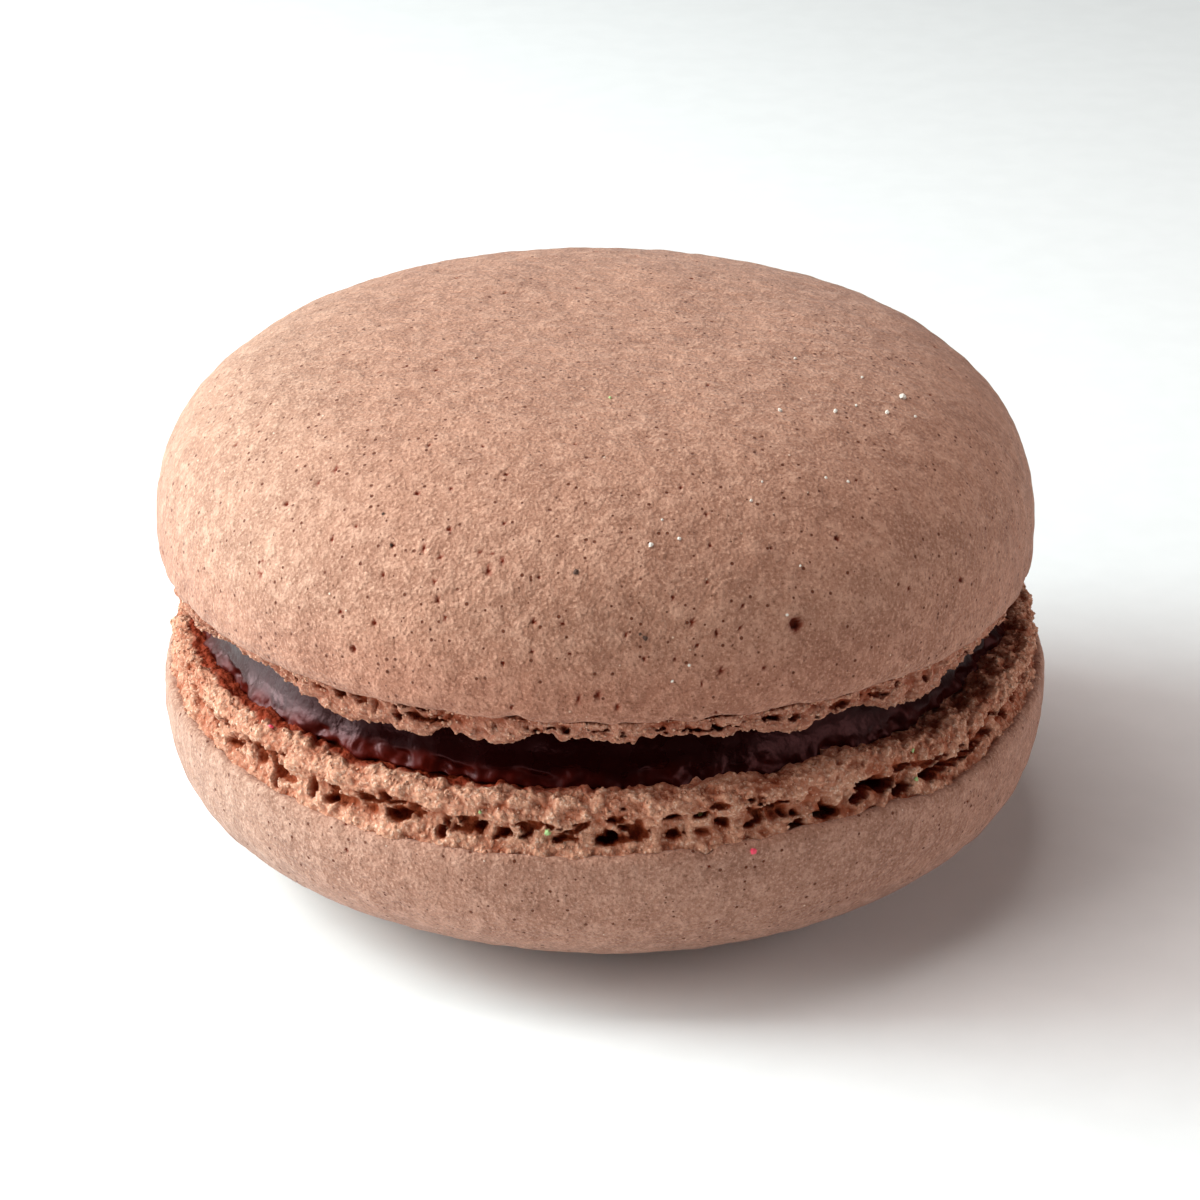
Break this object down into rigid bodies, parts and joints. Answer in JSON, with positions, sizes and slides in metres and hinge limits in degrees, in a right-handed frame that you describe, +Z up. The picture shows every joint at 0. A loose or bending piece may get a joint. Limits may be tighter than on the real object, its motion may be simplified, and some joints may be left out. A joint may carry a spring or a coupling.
{
  "type": "chocolate macaron",
  "caption": "Round sandwich biscuit: two domed cocoa almond shells with ruffled feet, joined by a set-back layer of dark ganache.",
  "frame": {"origin": "middle of the box at its base, on the small flat spot of the lower crown that the macaron rests on", "axes": "+Z up through both shells; the pictured side faces -Y, with +X to the viewer's right"},
  "size_m": [0.046, 0.046, 0.0275],
  "materials": {
    "crust": "matte baked cocoa and almond meringue crust with a porous foot",
    "ganache": "glossy, nearly black chocolate ganache"
  },
  "bodies": {
    "root": {"bottom_shell": "crust", "filling": "ganache", "top_shell": "crust"}
  },
  "joints": []
}
